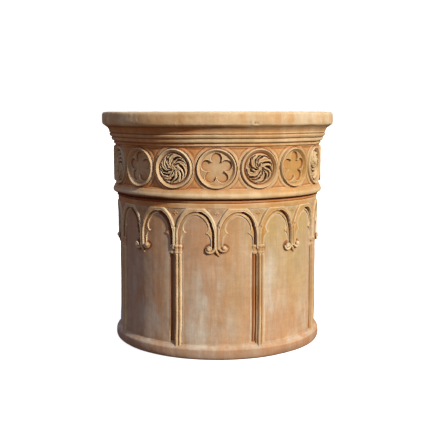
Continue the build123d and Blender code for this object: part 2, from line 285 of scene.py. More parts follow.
def make_object(name, verts, quads, tris, uv, passes, angle=52.0):
    """A mesh object from arrays, with the masks that the clay material reads."""
    me = bpy.data.meshes.new(name)
    quads = np.asarray(quads, np.int32).reshape(-1, 4)
    tris = np.asarray(tris, np.int32).reshape(-1, 3)
    loops = np.concatenate([quads.ravel(), tris.ravel()])
    me.vertices.add(len(verts))
    me.vertices.foreach_set("co", (np.asarray(verts) * 0.001).astype(np.float32).ravel())
    me.loops.add(len(loops))
    me.loops.foreach_set("vertex_index", loops)
    me.polygons.add(len(quads) + len(tris))
    starts = np.concatenate([np.arange(len(quads)) * 4, len(quads) * 4 + np.arange(len(tris)) * 3])
    me.polygons.foreach_set("loop_start", starts.astype(np.int32))
    me.update(calc_edges=True)
    me.polygons.foreach_set("use_smooth", np.ones(len(me.polygons), bool))
    if uv is not None:
        layer = me.uv_layers.new(name="OFBake", do_init=False)
        layer.uv.foreach_set("vector", np.asarray(uv, np.float32).ravel())
    me.set_sharp_from_angle(angle=math.radians(angle))
    me.validate()
    ob = bpy.data.objects.new(name, me)
    bpy.context.scene.collection.objects.link(ob)
    PIECES.append((name, me, passes))
    return ob


PIECES = []
MAP_COLUMNS, MAP_ROWS, MAP_STEP = 1024, 400, 1.5


def points_of(me):
    p = np.empty(len(me.vertices) * 3, np.float32)
    me.vertices.foreach_get("co", p)
    return p.reshape(-1, 3).astype(float) * 1000.0


def map_place(p):
    phi = np.arctan2(p[:, 0], -p[:, 1]) % TAU
    return phi / TAU * MAP_COLUMNS, np.clip(p[:, 2] / MAP_STEP, 0, MAP_ROWS - 1.001)


def blur(field, size):
    """The map of outer radii, averaged over about size mm each way."""
    k = int(3 * size / MAP_STEP)
    w = np.exp(-0.5 * (np.arange(-k, k + 1) * MAP_STEP / size) ** 2)
    w /= w.sum()
    wide = np.concatenate([field[:, -k:], field, field[:, :k]], 1)
    out = sum(w[i] * wide[:, i:i + MAP_COLUMNS] for i in range(2 * k + 1))
    tall = np.concatenate([np.repeat(out[:1], k, 0), out, np.repeat(out[-1:], k, 0)], 0)
    return sum(w[i] * tall[i:i + MAP_ROWS] for i in range(2 * k + 1))


def read_map(field, c, r):
    c0, r0 = np.floor(c).astype(int), np.floor(r).astype(int)
    fc, fr = c - c0, r - r0
    c0, c1, r1 = c0 % MAP_COLUMNS, (c0 + 1) % MAP_COLUMNS, np.minimum(r0 + 1, MAP_ROWS - 1)
    return (field[r0, c0] * (1 - fc) + field[r0, c1] * fc) * (1 - fr) + (field[r1, c0] * (1 - fc) + field[r1, c1] * fc) * fr


def finish_masks():
    field = np.zeros((MAP_ROWS, MAP_COLUMNS))
    for _, me, _ in PIECES:
        p = points_of(me)
        c, r = map_place(p)
        np.maximum.at(field, (np.round(r).astype(int) % MAP_ROWS, np.round(c).astype(int) % MAP_COLUMNS), np.hypot(p[:, 0], p[:, 1]))
    for _ in range(12):
        near = field.copy()
        for axis in (0, 1):
            for way in (-1, 1):
                near = np.maximum(near, np.roll(field, way, axis))
        field = np.where(field > 250.0, field, near)
    field[field < 250.0] = 256.0
    near, far = blur(field, 4.5), blur(field, 14.0)
    for name, me, passes in PIECES:
        masks(name, me, passes, near, far)


def masks(name, me, passes, near, far):
    """relief: how far a point stands out of (+) or lies in (-) its own surroundings, in mm. pale, warm: see spots."""
    n = len(me.vertices)
    p = np.empty(n * 3, np.float32)
    me.vertices.foreach_get("co", p)
    p = p.reshape(-1, 3).astype(float) * 1000.0
    e = np.empty(len(me.edges) * 2, np.int32)
    me.edges.foreach_get("vertices", e)
    e = e.reshape(-1, 2)
    normal = np.empty(n * 3, np.float32)
    me.vertex_normals.foreach_get("vector", normal)
    normal = normal.reshape(-1, 3)
    count = np.bincount(e.ravel(), minlength=n).astype(float)
    q = p.copy()
    for _ in range(passes):
        s = np.stack([np.bincount(e[:, 0], q[e[:, 1], k], n) + np.bincount(e[:, 1], q[e[:, 0], k], n) for k in range(3)], 1)
        q = 0.5 * q + 0.5 * s / np.maximum(count, 1)[:, None]
    relief = np.einsum("ij,ij->i", p - q, normal) * (0.75 if name.startswith(("cinquefoil", "tracery")) else 1.0)
    phi = np.arctan2(p[:, 0], -p[:, 1])
    pale, warm, ochre = spots(phi, p[:, 2])
    own = np.hypot(p[:, 0], p[:, 1])
    kept_and_shade, deep, cream = shades(name, phi, p[:, 2], own)
    relief = np.where(relief > 0, relief * (1 - np.clip(deep, 0, 1)), relief)
    c, r = map_place(p)
    outside = smooth(246.0, 252.0, own)
    if name == "rim":
        outside = smooth(262.0, 268.0, own) * np.maximum(smooth(286.0, 293.0, own), smooth(572.0, 564.0, p[:, 2]))
    part = 0.35 if name.startswith("colonnette") else 0.8 if name.startswith(("tracery", "capital", "cinquefoil")) else 1.0
    # hollow: how far a point lies below its near surroundings; the clay turns darker and redder there, painted shade in
    # recesses, on the tracery weighted to the right haunches
    hollow = np.clip((read_map(near, c, r) - own) / 3.2 * part, -1.0, 1.5) * outside
    if name.startswith("tracery"):
        hollow = hollow * (0.40 + 0.60 * arch_side(phi))
    if name == "lower_wall":
        reach = arch_parts(WALL_R * np.sin(phi % (2 * HALF) - HALF), p[:, 2])[1]
        spandrel = smooth(0.5, -1.5, reach) * smooth(314.0, 322.0, p[:, 2])
        hollow = hollow * (1.0 + 0.6 * smooth(262.0, 270.0, p[:, 2]) * smooth(0.2, 0.5, hollow)) * (1 - 0.72 * spandrel)
    hollow = np.maximum(hollow, deep * 1.05 * outside)
    # how far a point lies below its wider surroundings, plus the redder amount from shades(); it gives the sheltered
    # colour, partly unweathered clay and partly painted shade in undercuts and on the shade side
    shelter_and_shade = np.clip((read_map(far, c, r) - own) / 9.0 + kept_and_shade, -1.0, 1.5) * outside
    if name == "lower_wall":
        shelter_and_shade = shelter_and_shade - 0.30 * spandrel
        warm = warm + 0.75 * spandrel
    for key, value in (("relief", relief), ("pale", pale), ("warm", warm), ("ochre", ochre), ("cream", cream), ("hollow", hollow), ("shelter_and_shade", shelter_and_shade)):
        me.attributes.new(key, "FLOAT", "POINT").data.foreach_set("value", value.astype(np.float32))


def resample(points, fine, coarse, is_fine, blur=0.75):
    """A closed section with softened corners, its points close together where it curves or where is_fine says so."""
    p = np.array(points, float)
    p = np.vstack([p, p[:1]])
    seg = np.hypot(*np.diff(p, axis=0).T)
    total = seg.sum()
    n = int(total / 0.2)
    t = np.linspace(0, total, n, endpoint=False)
    c = np.concatenate([[0], np.cumsum(seg)])
    q = np.stack([np.interp(t, c, p[:, k]) for k in (0, 1)], 1)
    k = int(blur * 3 / 0.2)
    w = np.exp(-0.5 * (np.arange(-k, k + 1) * 0.2 / blur) ** 2)
    w /= w.sum()
    wrapped = np.vstack([q[-k:], q, q[:k]])
    q = np.stack([np.convolve(wrapped[:, i], w, "valid") for i in (0, 1)], 1)
    d = np.roll(q, -1, 0) - np.roll(q, 1, 0)
    ang = np.unwrap(np.arctan2(d[:, 1], d[:, 0]))
    turn = np.abs(np.roll(ang, -1) - ang)
    turn = np.minimum(turn, np.abs(TAU - turn)) / 0.2
    turn = np.convolve(np.concatenate([turn[-5:], turn, turn[:5]]), np.ones(11) / 11, "valid")
    spacing = np.clip(0.22 / np.maximum(turn, 1e-4), fine, coarse)
    spacing = np.where(is_fine(q[:, 0], q[:, 1]), np.minimum(spacing, fine * 2.2), spacing)
    cum = np.concatenate([[0], np.cumsum(0.2 / spacing)])
    m = int(round(cum[-1]))
    where = np.interp(np.linspace(0, cum[-1], m, endpoint=False), cum, np.arange(n + 1))
    q = np.vstack([q, q[:1]])
    return np.stack([np.interp(where, np.arange(n + 1), q[:, i]) for i in (0, 1)], 1)


def turned(name, points, columns, fine=0.9, coarse=9.0, is_fine=None, shape=None, blur=0.75, passes=8):
    """A ring turned from its closed section, counter-clockwise from the inner low corner."""
    is_fine = is_fine or (lambda r, z: r > 255.0)
    sec = resample(points, fine, coarse, is_fine, blur)
    m = len(sec)
    phi = np.arange(columns) * TAU / columns
    r = np.repeat(sec[None, :, 0], columns, 0)
    z = np.repeat(sec[None, :, 1], columns, 0)
    f = np.repeat(phi[:, None], m, 1)
    if shape is not None:
        r = r + shape(f, r, z)
    p = weather(np.stack([r * np.sin(f), -r * np.cos(f), z], -1))
    j, i = np.meshgrid(np.arange(columns), np.arange(m), indexing="ij")
    j2, i2 = (j + 1) % columns, (i + 1) % m
    quads = np.stack([j * m + i, j2 * m + i, j2 * m + i2, j * m + i2], -1).reshape(-1, 4)
    length = np.concatenate([[0], np.cumsum(np.hypot(*(np.roll(sec, -1, 0) - sec).T))])
    v = length / length[-1]
    u0, u1, v0, v1 = j / columns, (j + 1) / columns, v[i], v[i + 1]
    uv = np.stack([np.stack([u0, v0], -1), np.stack([u1, v0], -1), np.stack([u1, v1], -1), np.stack([u0, v1], -1)], 2)
    ob = make_object(name, p, quads, [], uv.reshape(-1, 2), passes)
    return ob


def wall_r(z):
    return np.where(z > WALL_STRAIGHT_Z, WALL_R, WALL_R + (WALL_R_LOW - WALL_R) * (WALL_STRAIGHT_Z - z) / (WALL_STRAIGHT_Z - PLINTH_TOP))


def patch_arrays(phi, z, r, r_back, keep):
    """A closed piece of relief: its face on a grid round the pot, a back set into the wall, and its sides."""
    rows, cols = r.shape
    used = np.zeros((rows, cols), bool)
    used[:-1, :-1] |= keep
    used[1:, :-1] |= keep
    used[:-1, 1:] |= keep
    used[1:, 1:] |= keep
    index = np.full((rows, cols), -1)
    index[used] = np.arange(used.sum())
    n = int(used.sum())
    f, h = np.meshgrid(phi, z)
    front = np.stack([r * np.sin(f), -r * np.cos(f), h], -1)[used]
    back = np.stack([r_back * np.sin(f), -r_back * np.cos(f), h], -1)[used]
    a, b, c, d = index[:-1, :-1][keep], index[:-1, 1:][keep], index[1:, 1:][keep], index[1:, :-1][keep]
    quads = [np.stack([a, b, c, d], -1), np.stack([a, d, c, b], -1) + n]
    uu = (np.arange(cols) + 0.5) / cols
    vv = (np.arange(rows) + 0.5) / rows
    gu, gv = np.meshgrid(uu, vv)
    place = np.stack([gu[used] * 0.49, gv[used]], -1)
    uvs = [place[quads[0]], place[quads[1] - n] + (0.5, 0.0)]
    wide = np.pad(keep, 1)
    for di, dj, p0, p1 in ((-1, 0, (0, 0), (0, 1)), (0, 1, (0, 1), (1, 1)), (1, 0, (1, 1), (1, 0)), (0, -1, (1, 0), (0, 0))):
        edge = keep & ~wide[1 + di:1 + di + keep.shape[0], 1 + dj:1 + dj + keep.shape[1]]
        i, j = np.nonzero(edge)
        s, t = index[i + p0[0], j + p0[1]], index[i + p1[0], j + p1[1]]
        quads.append(np.stack([t, s, s + n, t + n], -1))
        inset = np.array((0.0008, 0.0008))
        uvs.append(np.stack([place[t], place[s], place[s] + inset, place[t] + inset], 1))
    return np.vstack([front, back]), np.vstack(quads), np.vstack(uvs).reshape(-1, 2)


def spin(p, angle):
    c, s = math.cos(angle), math.sin(angle)
    return p @ np.array([[c, s, 0.0], [-s, c, 0.0], [0.0, 0.0, 1.0]])


def place(ob, slot, *nodes):
    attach(ob, "root")
    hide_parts(*nodes)
    ob.data.materials.append(CLAY[slot])
    return ob


# ------------------------------------------------------------------------------------------- the clay
def clay(name, tan, warm, pale, ochre, kept_and_shade, deep, bloom, salt, cream, streak):
    """Unglazed terracotta. tan, warm, pale and ochre are its drifting body colours, kept its colour where sheltered
    from the weather and where painted shade falls, deep that of narrow hollows and painted shade in them, salt the
    bloom's colour and bloom its amount, cream that of edges paled by wear and of painted highlights, streak the
    strength of the upright brushing."""
    mat = bpy.data.materials.new(name)
    mat.use_nodes = True
    nt = mat.node_tree
    nt.nodes.clear()

    def node(kind, **sockets):
        made = nt.nodes.new(kind)
        for key, value in sockets.items():
            target = made.inputs[int(key[1:])] if key[0] == "i" and key[1:].isdigit() else made.inputs[key.replace("_", " ")]
            if isinstance(value, bpy.types.NodeSocket):
                nt.links.new(value, target)
            else:
                target.default_value = value
        return made

    def math_node(op, a, b=0.0, clamp=False):
        made = node("ShaderNodeMath", i0=a, i1=b)
        made.operation, made.use_clamp = op, clamp
        return made.outputs[0]

    def noise_node(vector, scale, detail=3.0, rough=0.55):
        return node("ShaderNodeTexNoise", Vector=vector, Scale=scale, Detail=detail, Roughness=rough).outputs["Fac"]

    def ramp(value, low, high, to_low=0.0, to_high=1.0):
        made = node("ShaderNodeMapRange", Value=value, From_Min=low, From_Max=high, To_Min=to_low, To_Max=to_high)
        made.interpolation_type = "SMOOTHSTEP"
        return made.outputs["Result"]

    def mix(fac, a, b, mode="MIX"):
        made = nt.nodes.new("ShaderNodeMix")
        made.data_type, made.blend_type, made.clamp_factor = "RGBA", mode, True
        for socket, value in ((made.inputs[0], fac), (made.inputs[6], a), (made.inputs[7], b)):
            if isinstance(value, bpy.types.NodeSocket):
                nt.links.new(value, socket)
            else:
                socket.default_value = (*value, 1.0) if isinstance(value, tuple) else value
        return made.outputs[2]

    where = node("ShaderNodeTexCoord").outputs["Object"]
    upright = node("ShaderNodeMapping", Vector=where, Scale=(1.0, 1.0, 0.10)).outputs[0]
    level = node("ShaderNodeMapping", Vector=where, Scale=(0.35, 0.35, 2.2)).outputs[0]

    def mask(key):
        made = nt.nodes.new("ShaderNodeAttribute")
        made.attribute_name = key
        return made.outputs["Fac"]

    relief, pale_at, warm_at, hollow_at, shelter_and_shade = mask("relief"), mask("pale"), mask("warm"), mask("hollow"), mask("shelter_and_shade")
    ochre_at, cream_at = mask("ochre"), mask("cream")

    drift = noise_node(where, 5.5, 4.0, 0.6)
    blot = noise_node(where, 17.0, 4.0, 0.6)
    speck = noise_node(where, 62.0, 4.0, 0.65)
    grain = noise_node(where, 420.0, 3.0, 0.7)
    brush = noise_node(upright, 46.0, 4.0, 0.6)
    brush_fine = noise_node(upright, 165.0, 3.0, 0.6)
    laid = noise_node(level, 48.0, 3.0, 0.6)

    # the body's colour drifts with the firing, in soft upright passages
    soft = node("ShaderNodeMapping", Vector=where, Scale=(1.0, 1.0, 0.42)).outputs[0]
    cloud = noise_node(soft, 21.0, 5.0, 0.62)
    colour = mix(ramp(drift, 0.36, 0.64), tan, warm)
    colour = mix(math_node("MULTIPLY", ramp(cloud, 0.42, 0.70), 0.80), colour, pale)
    colour = mix(math_node("MULTIPLY", warm_at, 0.82, True), colour, warm)
    colour = mix(math_node("MULTIPLY", ochre_at, 0.92), colour, ochre)
    side = math_node("MULTIPLY", ramp(brush, 0.40, 0.70), 0.55 * streak)
    colour = mix(side, colour, pale)
    dim = ramp(brush_fine, 0.30, 0.70, 1.0 - 0.07 * streak, 1.0 + 0.05 * streak)
    dim = math_node("MULTIPLY", dim, ramp(speck, 0.28, 0.72, 0.94, 1.05))
    dim = math_node("MULTIPLY", dim, ramp(laid, 0.30, 0.70, 0.97, 1.03))
    dim = math_node("MULTIPLY", dim, ramp(blot, 0.30, 0.70, 0.94, 1.05))

    # salt bloom, in patches and rising from the ground in upright streaks
    amount = math_node("MULTIPLY", pale_at, 0.95)
    broken = math_node("MULTIPLY", ramp(cloud, 0.36, 0.60), ramp(brush, 0.28, 0.62, 0.55, 1.0))
    broken = math_node("ADD", math_node("MULTIPLY", broken, 0.85), math_node("MULTIPLY", ramp(brush_fine, 0.42, 0.68), 0.16))
    amount = math_node("MULTIPLY", math_node("MULTIPLY", amount, broken), bloom, clamp=True)
    colour = mix(amount, colour, salt)

    # where the weather doesn't reach, the clay keeps its own colour, and narrow hollows are dark red; both also carry
    # painted shade, darker and redder in recesses, in undercuts and on the shade side
    # paler where the cream mask is high: wear and painted highlight
    rubbed_and_highlit = math_node("MULTIPLY", cream_at, ramp(blot, 0.28, 0.60, 0.55, 1.0))
    colour = mix(rubbed_and_highlit, colour, cream)
    spared_and_shaded = math_node("MULTIPLY", ramp(shelter_and_shade, 0.06, 0.72), ramp(cloud, 0.30, 0.66, 1.0, 0.76))
    colour = mix(math_node("MULTIPLY", spared_and_shaded, 0.95), colour, kept_and_shade)
    # painted shade: narrow and wide hollows turn dark red
    fine_hollow = math_node("MULTIPLY", ramp(relief, -0.08, -0.80), 0.85)
    wide_hollow = math_node("MULTIPLY", ramp(hollow_at, 0.22, 1.05), 0.85)
    shut = math_node("MAXIMUM", fine_hollow, wide_hollow)
    colour = mix(math_node("MULTIPLY", shut, ramp(speck, 0.25, 0.6, 0.80, 1.0)), colour, deep)
    # raised edges and crests are paler: wear and painted highlight
    worn_and_highlit = math_node("MULTIPLY", math_node("MAXIMUM", ramp(relief, 0.08, 0.70), ramp(hollow_at, -0.30, -0.95)), ramp(blot, 0.30, 0.58, 0.50, 1.0))
    colour = mix(math_node("MULTIPLY", worn_and_highlit, 0.62), colour, cream)
    dim = math_node("MULTIPLY", dim, ramp(grain, 0.25, 0.75, 0.93, 1.06))
    shade = node("ShaderNodeCombineColor", Red=dim, Green=dim, Blue=dim).outputs[0]
    colour = mix(1.0, colour, shade, "MULTIPLY")

    # sandy surface with drag marks and pores
    sand = noise_node(where, 900.0, 4.0, 0.7)
    pits = node("ShaderNodeTexVoronoi", Vector=where, Scale=330.0).outputs["Distance"]
    pits = ramp(pits, 0.05, 0.30)
    tall_bump = math_node("ADD", math_node("MULTIPLY", sand, 0.55), math_node("MULTIPLY", pits, 0.18))
    tall_bump = math_node("ADD", tall_bump, math_node("MULTIPLY", brush_fine, 0.55 * streak))
    tall_bump = math_node("ADD", tall_bump, math_node("MULTIPLY", speck, 0.75))
    bump = node("ShaderNodeBump", Strength=0.55, Distance=0.0007, Height=tall_bump)

    rough = ramp(speck, 0.25, 0.75, 0.82, 0.96)
    shader = node("ShaderNodeBsdfPrincipled", Base_Color=colour, Roughness=rough, Normal=bump.outputs[0])
    shader.inputs["Specular IOR Level"].default_value = 0.25
    out = nt.nodes.new("ShaderNodeOutputMaterial")
    nt.links.new(shader.outputs[0], out.inputs[0])
    return mat


CLAY = {
    "moulding_clay": clay("moulding_clay", (0.56, 0.370, 0.190), (0.52, 0.280, 0.105), (0.64, 0.485, 0.285), (0.42, 0.222, 0.064),
                          (0.48, 0.180, 0.045), (0.19, 0.030, 0.006), 0.60, (0.65, 0.55, 0.40), (0.72, 0.58, 0.36), 0.30),
    "wall_clay": clay("wall_clay", (0.45, 0.290, 0.170), (0.46, 0.235, 0.108), (0.50, 0.37, 0.245), (0.43, 0.290, 0.122),
                      (0.43, 0.195, 0.072), (0.20, 0.050, 0.015), 0.78, (0.53, 0.475, 0.38), (0.60, 0.49, 0.34), 0.75),
    "ornament_clay": clay("ornament_clay", (0.53, 0.345, 0.178), (0.50, 0.270, 0.100), (0.61, 0.455, 0.27), (0.42, 0.225, 0.062),
                          (0.45, 0.185, 0.052), (0.16, 0.028, 0.007), 0.40, (0.62, 0.53, 0.39), (0.68, 0.56, 0.36), 0.25),
    "inner_clay": clay("inner_clay", (0.44, 0.235, 0.125), (0.42, 0.205, 0.100), (0.47, 0.28, 0.165), (0.45, 0.25, 0.12),
                       (0.42, 0.21, 0.100), (0.24, 0.085, 0.035), 0.20, (0.48, 0.38, 0.28), (0.52, 0.36, 0.23), 0.20),
}

# ------------------------------------------------------------------------------------------- arcade
TREFOIL = np.vstack([catmull(TREFOIL_HIGH, 5), catmull(TREFOIL_LOW, 5)[1:]])
SEAM = 50.06                       # an arch's edge, along its own front plane


def arch_parts(x, z):
    """For a point of an arch: mm outside the rib's inner edge, mm inside its outer edge, and mm outside the trefoil."""
    side = smooth(-5.0, 14.0, x)
    x = np.abs(x)
    rin = np.where(z >= IN_Z, np.hypot(x - IN_C, z - IN_Z), x - IN_C) - IN_RHO
    rout = OUT_RHO - np.where(z >= OUT_Z, np.hypot(x - OUT_C, z - OUT_Z), x - OUT_C)
    gate = SEAM - x
    joined = smooth(326.0, 318.0, z)
    reach = np.minimum(rout, gate + 6.0 * joined)
    reach = np.where(z < 317.5, np.maximum(reach, gate + 6.0), reach)
    rin = rin - np.clip(rin + np.maximum(reach - 6.0 * joined, 0.0) - 9.2, 0.0, 4.6) * smooth(1.0, 15.0, x) * (0.35 + 0.65 * side)
    edge_x = np.interp(-z, -TREFOIL[:, 1], TREFOIL[:, 0])
    d = line_distance(x, z, TREFOIL) * np.where(x < edge_x, -1.0, 1.0)
    return rin, reach, gate, d


def arch_relief(x, z):
    """Height over the wall of one arch: the double-rolled rib and, inside it, the hollow trefoil order."""
    side = smooth(-5.0, 14.0, x)
    rin, reach, gate, d = arch_parts(x, z)
    width = np.clip(rin + np.maximum(reach - 6.0 * smooth(326.0, 318.0, z), 0.0), 4.0, 15.0)
    t = np.clip(rin / width, 0.0, 1.0)
    rise = smooth(-0.6, 1.0, rin)
    fall = smooth(-0.3, 2.6, reach)
    crown = 3.7 + 2.4 * np.sin(math.pi * np.clip(t * 0.86 + 0.12, 0.0, 1.0)) ** 0.8
    crown = crown + 0.35 * np.exp(-(((rin - 1.6) / 0.8) ** 2)) - (0.30 + 0.60 * side) * np.exp(-(((rin - 3.3) / 0.75) ** 2))
    rib = rise * (fall * crown - 1.6 * (1 - fall))
    seam = 1.0 * np.exp(-((gate / 0.9) ** 2)) * smooth(322.0, 316.0, z) * (0.35 + 0.65 * smooth(286.0, 314.0, z))
    rib = rib - seam
    order = 2.1 + 0.55 * np.exp(-(((d - 1.1) / 1.0) ** 2)) - (1.0 + 3.4 * side) * smooth(-6.4, -3.0, rin) * smooth(1.4, 3.0, d) * smooth(3.0, 13.0, np.abs(x))
    order = np.where(d < 0.15, -3.0 + (order + 3.0) * smooth(-0.75, 0.15, d), order)
    h = order * (1 - rise) + np.maximum(rib, 0.0) * rise + np.minimum(rib, 0.0)
    return np.where(reach < -0.4, -3.0, h)


def arch_cover(x, z):
    """How far a point lies within an arch's own clay, so that the wall can be sunk behind it."""
    rin, reach, gate, d = arch_parts(x, z)
    return np.minimum(np.minimum(d, reach), np.minimum(z - 269.0, 365.0 - z))


def jamb_cover(s, z):
    """The same for the colonnettes."""
    return np.minimum(15.4 - np.abs(s), np.minimum(z - 39.5, 256.5 - z))


# ------------------------------------------------------------------------------------------- turned pieces
PLINTH = [
    (WALL_IN, 0), (259.2, 0), (263.4, 1.4), (266.2, 4.2), (267.7, 8.0), (268.4, 12.5), (268.3, 17.5),
    (267.9, 22.0), (267.4, 25.4), (266.4, 28.0), (264.4, 30.6), (261.4, 33.6), (258.9, 36.6), (256.6, 38.8), (253.0, 41.0), (248.0, 42.6), (WALL_IN, PLINTH_TOP),
]
place(turned("base_plinth", PLINTH, 720, blur=0.7), "wall_clay", "base_plinth")

WALL = [(WALL_IN, PLINTH_TOP), (WALL_R_LOW, 36.5), (WALL_R, WALL_STRAIGHT_Z), (WALL_R, 366.0), (WALL_IN, BAND_LOW)]


def drag(f, r, z):
    """Upright drag marks of the rib that smoothed the panels, soft dents, and the wall cut back behind the arcade."""
    flat = (r > 250.0)
    p = np.stack([r * np.sin(f), -r * np.cos(f), z * 0.09], -1)
    soft = 0.10 * noise(p.reshape(-1, 3), 8.5, 41).reshape(r.shape) + 0.26 * noise(p.reshape(-1, 3), 30.0, 42).reshape(r.shape)
    local = (f + HALF * 2) % (2 * HALF) - HALF
    arch = arch_cover(WALL_R * np.sin(local), z)
    jamb = jamb_cover((f % STEP - STEP / 2) * WALL_R, z)
    rise = 2.6 * smooth(349.0, 365.0, z)
    return flat * (soft + rise - 4.2 * smooth(1.0, 3.2, arch) - 8.6 * smooth(-0.3, 0.8, jamb))


place(turned("lower_wall", WALL, 900, fine=1.6, coarse=9.0, is_fine=lambda r, z: r > 250.0, shape=drag), "wall_clay", "lower_wall")

BAND = [
    (WALL_IN, BAND_LOW), (259.2, BAND_LOW), (260.5, BAND_LOW + 0.8), (260.4, 366.6), (260.6, 374.8), (260.2, 376.3),
    (259.0, 377.4), (259.2, 380.5), (WALL_IN, 378.0),
]
place(turned("arcade_band", BAND, 720, fine=0.7, blur=0.45), "moulding_clay", "arcade_band")

STRING = [
    (WALL_IN, STRING_LOW), (258.6, STRING_LOW), (260.4, 378.3), (262.2, 378.8), (262.8, 380.2), (262.6, 382.0), (261.6, 383.0),
    (258.4, 383.3), (257.4, 385.2), (258.6, 387.0), (266.6, 387.3), (269.8, 388.3), (271.8, 390.6), (272.7, 394.0), (272.4, 397.4), (271.2, 399.8),
    (270.2, 401.2), (269.3, 404.0), (268.0, 406.6), (266.2, 408.6), (262.0, 410.0), (WALL_IN, STRING_TOP),
]
place(turned("string_course", STRING, 720, fine=0.7, blur=0.5), "moulding_clay", "string_course")


def frieze_field(f, r, z):
    """The frieze between its roundels: a fillet round each, and sunk three-cornered fields above and below."""
    d = (f + HALF) % (2 * HALF) - HALF
    x = FRIEZE_R * np.sin(d)
    dz = z - ROUNDEL_Z
    rho = np.hypot(x, dz)
    outer = (r > 264.0) & (z > 407.0) & (z < 511.0)
    between = smooth(22.0, 38.0, np.abs(x))
    h = -0.2 - (1.3 + 2.6 * between) * np.exp(-((np.abs(rho - 47.9) / 1.25) ** 3))
    h = h + between * (0.5 * np.exp(-(((rho - 50.2) / 0.9) ** 2)) - 0.5 * np.exp(-(((rho - 52.0) / 0.9) ** 2)))
    edge = np.minimum(rho - 54.8, np.where(dz > 0, 48.4 - dz, dz + 47.0))
    sunk = smooth(-0.7, 1.2, edge) * smooth(6.0, 14.0, np.abs(x))
    boss = smooth(3.4, 6.4, edge)
    h = h - 1.7 * sunk + 0.9 * boss
    pit = 1 - smooth(43.0, 45.5, rho)
    h = h * (1 - pit) - 9.0 * pit
    return outer * h


FRIEZE = [(WALL_IN, STRING_TOP - 2), (FRIEZE_R, 404.5), (FRIEZE_R, 512.6), (236.0, FRIEZE_TOP)]
place(turned("frieze_wall", FRIEZE, 1152, fine=0.72, coarse=9.0, is_fine=lambda r, z: r > 264.5, shape=frieze_field, blur=0.4),
      "moulding_clay", "frieze_wall")

CORNICE = [
    (236.0, FRIEZE_TOP), (267.0, FRIEZE_TOP), (269.2, 511.3), (269.8, 512.4), (269.8, 514.6), (269.4, 515.4),
    (268.9, 515.9), (268.7, 517.0), (269.4, 518.4), (272.8, 519.2), (274.6, 520.8), (275.6, 524.0), (275.9, 526.6), (275.2, 527.3), (274.6, 528.0), (275.4, 528.8),
    (278.5, 530.2), (280.2, 532.4), (281.2, 535.6), (280.6, 537.2), (279.2, 537.8), (278.5, 538.5), (279.4, 539.3),
    (281.6, 540.3), (282.2, 541.6), (282.0, 543.0), (248.0, CORNICE_TOP),
]
place(turned("cornice", CORNICE, 720, fine=0.62, blur=0.38), "moulding_clay", "cornice")

RIM = [
    (248.0, CORNICE_TOP - 1.5), (280.6, 541.6), (281.5, 543.4), (282.6, 546.4), (284.6, 550.0), (288.4, 553.8), (293.4, 557.4),
    (297.4, 559.9), (299.4, 563.0), (300.0, 568.0), (300.0, 574.0), (299.6, 581.0), (299.0, 586.6), (297.4, 590.2),
    (294.0, HEIGHT), (285.0, HEIGHT), (260.0, HEIGHT), (255.4, 590.6), (252.8, 587.0), (252.0, 580.0), (252.0, 560.0),
]
place(turned("rim", RIM, 840, fine=0.95, is_fine=lambda r, z: (r > 279.0), blur=0.9), "moulding_clay", "rim")

SLAB = [(20.0, 6.0), (227.9, 6.0), (227.9, 34.0), (20.0, 34.0)]
place(turned("floor_slab", SLAB, 360, fine=1.2, coarse=7.0, is_fine=lambda r, z: r < 30.0), "inner_clay", "floor_slab")


# ------------------------------------------------------------------------------------------- roundels
def disc_piece(name, phi0, surface, rings, around, slot, node):
    """A closed round piece set in the frieze. surface(x, z) is the radius of its face, rings its stations."""
    a = np.arange(around) * TAU / around
    rr, aa = np.meshgrid(rings, a, indexing="ij")
    x, z = rr * np.cos(aa), rr * np.sin(aa)
    face = surface(x, z)
    side = [(ROUNDEL_RADIUS + 0.5, 267.0), (ROUNDEL_RADIUS + 0.55, 263.0), (ROUNDEL_RADIUS + 0.5, 257.6), (44.0, 256.2), (22.0, 256.0)]
    xs, zs, rs = [x], [z], [face]
    for rho, big in side:
        xs.append((rho * np.cos(a))[None])
        zs.append((rho * np.sin(a))[None])
        rs.append(np.full((1, around), big))
    x, z, big = np.vstack(xs), np.vstack(zs), np.vstack(rs)
    rows = len(x)
    p = np.stack([x, -np.sqrt(big * big - x * x), z + ROUNDEL_Z], -1).reshape(-1, 3)
    c0, c1 = len(p), len(p) + 1
    mid = float(surface(np.zeros(1), np.zeros(1))[0])
    p = np.vstack([p, (0, -mid, ROUNDEL_Z), (0, -256.0, ROUNDEL_Z)])
    i, j = np.meshgrid(np.arange(rows - 1), np.arange(around), indexing="ij")
    j2 = (j + 1) % around
    quads = np.stack([i * around + j, (i + 1) * around + j, (i + 1) * around + j2, i * around + j2], -1).reshape(-1, 4)
    k = np.arange(around)
    k2 = (k + 1) % around
    tris = np.vstack([np.stack([np.full(around, c0), k, k2], -1),
                      np.stack([np.full(around, c1), (rows - 1) * around + k2, (rows - 1) * around + k], -1)])
    cut = len(rings) + 2
    grow = np.concatenate([np.linspace(0.008, 0.22, cut), np.linspace(0.21, 0.02, rows - cut)])
    spot = np.stack([grow[:, None] * np.cos(a), grow[:, None] * np.sin(a)], -1)
    spot[:cut] += (0.25, 0.25)
    spot[cut:] += (0.75, 0.25)
    flatspot = np.vstack([spot.reshape(-1, 2), (0.25, 0.25), (0.75, 0.25)])
    uv = flatspot[np.concatenate([quads.ravel(), tris.ravel()])]
    # the one ring of quads between the two halves of the map gets a strip of its own
    strip = np.nonzero((quads[:, 0] // around == cut - 1))[0]
    for n, q in enumerate(strip):
        u0, u1 = 0.02 + 0.96 * n / around, 0.02 + 0.96 * (n + 1) / around
        uv[q * 4:q * 4 + 4] = ((u0, 0.90), (u0, 0.94), (u1, 0.94), (u1, 0.90))
    p = weather(spin(p, phi0))
    return place(make_object(name, p, quads, tris, uv, 9), slot, node)


